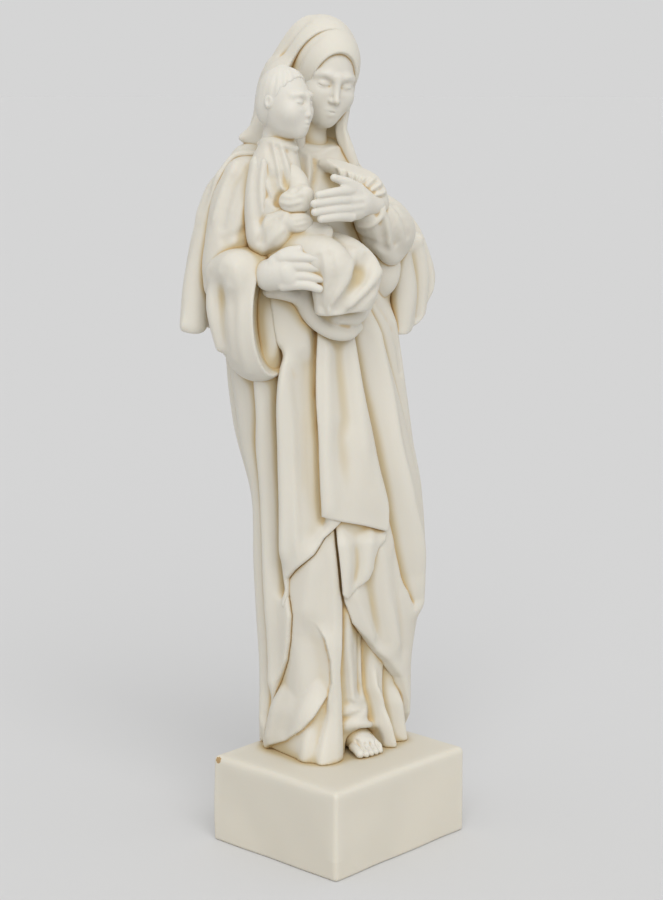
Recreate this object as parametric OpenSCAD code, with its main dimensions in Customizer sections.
// Standing mother and child in cast resin, on a plain block plinth.
// +Z is up, the figure faces -Y, and the origin is the centre of the plinth's underside.
// The figure is drawn in its own frame: its foot axis is at x = y = 0 and the plinth's top is z = 0.

/* [Plinth] */
// Width of the plinth, side to side
plinth_w = 58; // [56:1:64]
// Depth of the plinth, front to back
plinth_d = 50; // [48:1:56]
// Height of the plinth
plinth_h = 28; // [22:1:34]
// Radius of the plinth's upright corners
plinth_corner_r = 2; // [1:0.5:4]

/* [Figure] */
// Height of the figure, from the plinth's top to the top of the hood
figure_h = 225; // [205:1:230]
// Turn of the figure on its plinth, towards its own right
figure_turn = 10; // [0:1:14]
// Thickness of the cloak's cloth
cloth_t = 2.4; // [2:0.1:3]

/* [Pins] */
// Diameter of the two pins that locate the figure on the plinth
pin_d = 4; // [3:0.5:5]
// Length of each pin, half of it in the plinth
pin_len = 16; // [12:1:20]
// Distance between the two pins
pin_gap = 18; // [14:1:20]

/* [Hidden] */

drawn_h = 225;          // height at which the figure's own measures are drawn
foot_axis = [5, 6];     // where the figure's axis stands on the plinth
ring_points = 36;
ball_fn = 18;
reach = 70;             // longer than any cut has to be
waist_z = 122;
shoulder_z = 178;
ivory = "#e6dfce";
ivory_shade = "#d9d0ba";

// Level sections of the robed body: [height, centre x, centre y, half width, half depth, squareness]
BODY = [
    [0, 1, 0, 23.5, 15.5, 4],
    [22, 0.5, 0, 22.5, 16, 3.6],
    [48, 1, -1, 25.5, 17.5, 3],
    [66, 1, -1.5, 26.5, 18.5, 2.9],
    [80, 0, -1.5, 26, 18.5, 2.8],
    [98, -3, -1, 25, 18, 2.7],
    [waist_z, -6.5, 0.5, 25.5, 16.5, 2.6],
    [135, -7.5, 1, 25.5, 15.5, 2.5],
    [148, -8, 1.5, 25, 14, 2.4],
    [162, -8, 2, 25, 13, 2.3],
    [172, -8, 2.5, 24.5, 12, 2.3],
    [shoulder_z, -7.5, 3, 20, 10.5, 2.2],
    [185, -6.5, 3, 13, 9, 2.1],
    [190, -5.5, 2.5, 8, 8, 2]
];

// Centres and half sizes of the two heads
mother_c = [-5, 0.5, 207];
mother_r = [9.4, 11, 13.6];
mother_tilt = [10, 4, -12];
child_c = [-25, -9.5, 199.5];
child_r = [8.4, 9.4, 10.6];
child_turn = [0, 0, 40];

// ---- general shapes ----

function section(s, grow, folds) = [
    for (i = [0:ring_points - 1])
        let (t = 360 * i / ring_points,
             a = s[3] + grow,
             b = s[4] + grow,
             r = pow(pow(abs(cos(t)) / a, s[5]) + pow(abs(sin(t)) / b, s[5]), -1 / s[5]),
             f = r + folds * cos(12 * t))
        [s[1] + f * cos(t), s[2] + f * sin(t), s[0]]
];

// Closed skin over a stack of rings that all have the same number of points
module skin(rings) {
    n = len(rings[0]);
    top = (len(rings) - 1) * n;
    polyhedron(
        points = [for (r = rings) each r],
        faces = concat(
            [[for (i = [0:n - 1]) i]],
            [for (k = [0:len(rings) - 2], i = [0:n - 1])
                [k * n + i, (k + 1) * n + i, (k + 1) * n + (i + 1) % n]],
            [for (k = [0:len(rings) - 2], i = [0:n - 1])
                [k * n + i, (k + 1) * n + (i + 1) % n, k * n + (i + 1) % n]],
            [[for (i = [n - 1:-1:0]) top + i]]
        )
    );
}

// One closed mesh of everything inside it
module one_piece() {
    resize([0, 0, 0]) children();
}

// Places the figure's own frame on the plinth
module on_plinth() {
    translate([foot_axis[0], foot_axis[1], plinth_h])
        rotate([0, 0, -figure_turn])
            scale(figure_h / drawn_h)
                children();
}

module ball(p, r) {
    translate(p) sphere(r, $fn = ball_fn);
}

// Rounded bar through the points p with the radii r
module limb(p, r) {
    for (i = [0:len(p) - 2])
        hull() {
            ball(p[i], r[i]);
            ball(p[i + 1], r[i + 1]);
        }
}

// Rounded hull of the points p with the radii r
module pad(p, r) {
    hull()
        for (i = [0:len(p) - 1])
            ball(p[i], r[i]);
}

module egg(c, r, turn) {
    translate(c) rotate(turn) scale(r) sphere(1, $fn = 28);
}

// Wedge of plan between two bearings, measured from the front towards the figure's left
module wedge(from, to, z0, z1) {
    translate([1, 0, z0])
        linear_extrude(z1 - z0)
            polygon(concat([[0, 0]],
                [for (i = [0:6]) let (a = from + (to - from) * i / 6) reach * [sin(a), -cos(a)]]));
}

// Everything in front of the axis and below the line from p to q, given as [x, z]
module under_line(p, q) {
    rotate([90, 0, 0])
        linear_extrude(reach)
            polygon([p, q, [q[0] + reach, q[1]], [q[0] + reach, -reach], [p[0] - reach, -reach],
                     [p[0] - reach, p[1]]]);
}

// ---- shapes that more than one piece is cut from ----

module gown_core() {
    skin([for (s = BODY) section(s, -cloth_t, 0)]);
}

module cloak_layer(z0, z1) {
    difference() {
        intersection() {
            skin([for (s = BODY) section(s, 0, 0.6)]);
            translate([-reach, -reach, z0]) cube([2 * reach, 2 * reach, z1 - z0]);
        }
        gown_core();
    }
}

module foot_hollow() {
    pad([[0, -14, 3], [0, -20, 3], [1, -10, 10]], [6.5, 6.5, 5]);
}

module mother_skull() {
    egg(mother_c, mother_r, mother_tilt);
    limb([[-5, 2.5, 202], [-5.5, 3, 184]], [5.6, 6.2]);
}

module veil_form() {
    egg(mother_c + [0.3, 1.5, 1], mother_r + [1.6, 1.6, 1.6], mother_tilt);
    pad([[4, 2, 205], [1.5, -1, 186], [2, 4, 186]], [3.5, 2, 3.4]);
}

module hood_form() {
    egg(mother_c + [0, 3.5, 2.2], mother_r + [3.4, 3.2, 2.4], mother_tilt);
    pad([[-6, 6, 208], [-26, 10, 184], [-8, 11, 183], [9, 8, 182]], [11, 3.5, 5, 3.5]);
}

module child_body() {
    pad([[-25, -4, 183], [-26, -8, 171], [-24, -12, 161]], [5.5, 8, 8]);
}

module child_lap() {
    limb([[-26, -10, 159], [-18, -26, 150], [-20, -20, 138]], [8.5, 6.5, 6]);
    limb([[-17, -12, 157], [-6.5, -24, 145], [-10, -20, 136]], [8, 6.5, 5.5]);
}

// A sleeved arm of the child with its closed hand
module child_arm_form(shoulder, elbow, wrist, hand) {
    limb([shoulder, elbow, wrist], [4.6, 4.8, 3.6]);
    ball(hand, 2.6);
}

module child_right_arm_form() {
    child_arm_form([-31, -4, 179], [-33, -9, 164], [-29, -17, 167], [-27.5, -20, 168]);
}

module child_left_arm_form() {
    child_arm_form([-18, -11, 178], [-17, -17, 171], [-23, -21, 165], [-25.5, -23, 164]);
}

module right_arm_form() {
    limb([[-26, 3, 172], [-34, 6, 157], [-36, 5, 149]], [7.5, 8.5, 7.5]);
}

module bell_form() {
    pad([[-37, 5, 149], [-33, -8, 149], [-38, 6, 131], [-30, -2, 122], [-25, -8, 134]],
        [6.5, 5, 4.5, 4, 3]);
}

module left_arm_form() {
    limb([[14, 2, 171], [25, -5, 158], [9, -15, 161], [-1, -19, 168.5]], [8, 7.5, 7, 5]);
}

module palm(wrist, knuckles, r) {
    pad([wrist, knuckles + [0, 0, r], knuckles - [0, 0, r]], [r, r * 0.7, r * 0.7]);
}

module fingers(knuckles, tips, pitch) {
    for (i = [-1.5:1:1.5])
        limb([knuckles + [0, 0, i * pitch], tips + [0, 0, i * pitch * 0.8]], [1.5, 1.1]);
}

// ---- the pieces ----

module plinth_outline() {
    r = plinth_corner_r;
    square([plinth_w - 2 * r, plinth_d], center = true);
    square([plinth_w, plinth_d - 2 * r], center = true);
    for (x = [-1, 1], y = [-1, 1])
        translate([x * (plinth_w / 2 - r), y * (plinth_d / 2 - r)]) circle(r, $fn = 32);
}

module pin_places() {
    for (x = [-0.5, 0.5])
        translate([foot_axis[0] + x * pin_gap, foot_axis[1], plinth_h - pin_len / 2]) children();
}

module plinth() {
    color(ivory_shade)
        difference() {
            linear_extrude(plinth_h) plinth_outline();
            pin_places() cylinder(h = pin_len, d = pin_d, $fn = 32);
        }
}

module locating_pins() {
    color("#b9a071") pin_places() cylinder(h = pin_len, d = pin_d, $fn = 32);
}

module gown_skirt() {
    color(ivory_shade)
        one_piece()
            difference() {
                on_plinth()
                    difference() {
                        gown_core();
                        translate([-reach, -reach, waist_z]) cube([2 * reach, 2 * reach, reach * 2]);
                        foot_hollow();
                    }
                pin_places() cylinder(h = pin_len, d = pin_d, $fn = 32);
            }
}

module right_foot() {
    color(ivory)
        on_plinth() one_piece()
            intersection() {
                union() {
                    pad([[0, -9, 3], [-2, -14, 1.8], [3, -14.5, 1.8]], [4, 2.6, 2.6]);
                    for (i = [-2:2])
                        limb([[i * 1.8, -14, 1.9], [i * 2 + 0.6, -18.6 + abs(i + 1) * 0.5, 1.5]], [1.3, 1.1]);
                }
                translate([-reach, -reach, 0]) cube(2 * reach);
                foot_hollow();
            }
}

module cloak_right_side() {
    color(ivory)
        on_plinth() one_piece()
            intersection() {
                cloak_layer(0, waist_z);
                wedge(-112, -72, 0, waist_z);
            }
}

module cloak_lower_fall() {
    color(ivory)
        on_plinth() one_piece()
            difference() {
                intersection() {
                    cloak_layer(0, waist_z);
                    wedge(-72, -28, 0, waist_z);
                    under_line([-24, 56], [-12, 78]);
                }
                foot_hollow();
            }
}

module cloak_front_fall() {
    color(ivory)
        on_plinth() one_piece()
            difference() {
                intersection() {
                    cloak_layer(0, waist_z);
                    wedge(-72, -46, 0, waist_z);
                }
                under_line([-24, 56], [-12, 78]);
            }
}

module cloak_centre_panel() {
    color(ivory)
        on_plinth() one_piece()
            difference() {
                intersection() {
                    cloak_layer(0, waist_z);
                    wedge(-46, 8, 0, waist_z);
                }
                under_line([-24, 56], [-12, 78]);
                under_line([-12, 78], [6, 70]);
            }
}

module cloak_left_side() {
    color(ivory)
        on_plinth() one_piece()
            difference() {
                intersection() {
                    cloak_layer(0, waist_z);
                    union() {
                        wedge(8, 70, 0, waist_z);
                        intersection() {
                            wedge(-28, 8, 0, waist_z);
                            under_line([-12, 78], [6, 70]);
                        }
                    }
                }
                under_line([-12, 51], [18, 17]);
            }
}

module cloak_back() {
    color(ivory)
        on_plinth() one_piece()
            difference() {
                intersection() {
                    cloak_layer(0, shoulder_z);
                    union() {
                        wedge(70, 248, 0, waist_z);
                        wedge(100, 250, waist_z, shoulder_z);
                    }
                }
                hood_form();
                right_arm_form();
                left_arm_form();
            }
}

module gown_bodice() {
    color(ivory)
        on_plinth() one_piece()
            difference() {
                gown_core();
                translate([-reach, -reach, -1]) cube([2 * reach, 2 * reach, waist_z + 1]);
                mother_skull();
            }
}

module right_upper_sleeve() {
    color(ivory)
        on_plinth() one_piece()
            difference() {
                right_arm_form();
                gown_core();
                child_body();
            }
}

module right_bell_sleeve() {
    color(ivory)
        on_plinth() one_piece()
            difference() {
                bell_form();
                skin([for (s = BODY) section(s, 0, 0.6)]);
                right_arm_form();
                child_body();
                child_lap();
            }
}

module cloak_right_shoulder() {
    color(ivory)
        on_plinth() one_piece()
            difference() {
                pad([[-31, 8, 172], [-42, 12, 152], [-43, 15, 134], [-30, 14, 133], [-22, 12, 172]],
                    [3, 3, 2.6, 2.6, 4]);
                skin([for (s = BODY) section(s, 0, 0.6)]);
                right_arm_form();
                bell_form();
                hood_form();
            }
}

module left_sleeve() {
    color(ivory)
        on_plinth() one_piece()
            difference() {
                left_arm_form();
                gown_core();
                child_body();
                child_lap();
            }
}

module cloak_left_shoulder() {
    color(ivory)
        on_plinth() one_piece()
            difference() {
                pad([[18, 5, 171], [33, 0, 156], [35, 1, 143], [24, -5, 134], [18, -4, 150]],
                    [5, 4, 3.5, 3.5, 4]);
                skin([for (s = BODY) section(s, 0, 0.6)]);
                left_arm_form();
                hood_form();
            }
}

module mother_head() {
    color(ivory)
        on_plinth() one_piece()
            union() {
                mother_skull();
                translate(mother_c) rotate(mother_tilt)
                    pad([[0, -9.5, 2], [0, -11.8, -2.5], [0, -9, -3]], [1, 1.2, 1.4]);
            }
}

module inner_veil() {
    color(ivory)
        on_plinth() one_piece()
            difference() {
                veil_form();
                mother_skull();
                gown_core();
                translate(mother_c) rotate(mother_tilt) translate([0, -9, -4]) scale([8.2, 12, 13])
                    sphere(1, $fn = 24);
            }
}

module hood() {
    color(ivory)
        on_plinth() one_piece()
            difference() {
                hood_form();
                veil_form();
                mother_skull();
                gown_core();
                child_head_form();
                ball([-1, -0.5, 195], 2.5);
                translate(mother_c) rotate(mother_tilt) translate([0, -14, -4]) scale([13, 14.6, 18])
                    sphere(1, $fn = 24);
            }
}

module right_hand() {
    color(ivory)
        on_plinth() one_piece()
            difference() {
                union() {
                    palm([-34, -10, 151], [-32, -18, 152], 3.6);
                    fingers([-32, -18, 152], [-26, -26, 152.5], 2.5);
                    limb([[-32, -15, 155], [-29, -21, 159]], [1.8, 1.3]);
                }
                child_body();
                child_lap();
                bell_form();
                right_arm_form();
            }
}

module left_hand() {
    color(ivory)
        on_plinth() one_piece()
            difference() {
                union() {
                    palm([-3, -21, 170], [-12, -23.5, 171.5], 4);
                    fingers([-12, -23.5, 171.5], [-24, -25, 170.5], 2.7);
                    limb([[-8, -21.5, 175], [-17, -22, 179]], [2, 1.4]);
                }
                child_body();
                left_arm_form();
                child_left_arm_form();
                child_right_arm_form();
            }
}

module child_head_form() {
    egg(child_c, child_r, child_turn);
    limb([[-25, -8, 194], [-25.5, -6, 184]], [4, 4]);
}

module child_head() {
    color(ivory)
        on_plinth() one_piece()
            difference() {
                union() {
                    child_head_form();
                    translate(child_c) rotate(child_turn) ball([0, -9.4, -1.5], 1.3);
                }
                mother_skull();
            }
}

module child_hair() {
    color(ivory_shade)
        on_plinth() one_piece()
            difference() {
                egg(child_c + [-0.2, 0.6, 0.8], child_r + [0.7, 0.7, 0.6], child_turn);
                child_head_form();
                mother_skull();
                veil_form();
                hood_form();
                translate(child_c) rotate(child_turn) translate([0, -8, -7]) scale([9, 9, 12])
                    sphere(1, $fn = 24);
            }
}

module child_tunic() {
    color(ivory)
        on_plinth() one_piece()
            difference() {
                child_body();
                gown_core();
                child_head_form();
            }
}

module child_right_arm() {
    color(ivory)
        on_plinth() one_piece()
            difference() {
                child_right_arm_form();
                child_body();
                gown_core();
                child_lap();
                right_arm_form();
                bell_form();
            }
}

module child_left_arm() {
    color(ivory)
        on_plinth() one_piece()
            difference() {
                child_left_arm_form();
                child_body();
                gown_core();
                child_lap();
                child_right_arm_form();
            }
}

module child_legs_drape() {
    color(ivory)
        on_plinth() one_piece()
            difference() {
                child_lap();
                child_body();
                skin([for (s = BODY) section(s, 0, 0.6)]);
            }
}

module child_wrap() {
    color(ivory)
        on_plinth() one_piece()
            difference() {
                limb([[-28, -13, 141], [-21, -19, 132.5], [-12, -20, 130], [-4, -19, 132]],
                     [3.4, 3.4, 3.4, 3]);
                child_lap();
                bell_form();
                skin([for (s = BODY) section(s, 0, 0.6)]);
            }
}

plinth();
locating_pins();
gown_skirt();
right_foot();
cloak_right_side();
cloak_lower_fall();
cloak_front_fall();
cloak_centre_panel();
cloak_left_side();
cloak_back();
gown_bodice();
right_upper_sleeve();
right_bell_sleeve();
cloak_right_shoulder();
left_sleeve();
cloak_left_shoulder();
mother_head();
inner_veil();
hood();
right_hand();
left_hand();
child_head();
child_hair();
child_tunic();
child_right_arm();
child_left_arm();
child_legs_drape();
child_wrap();
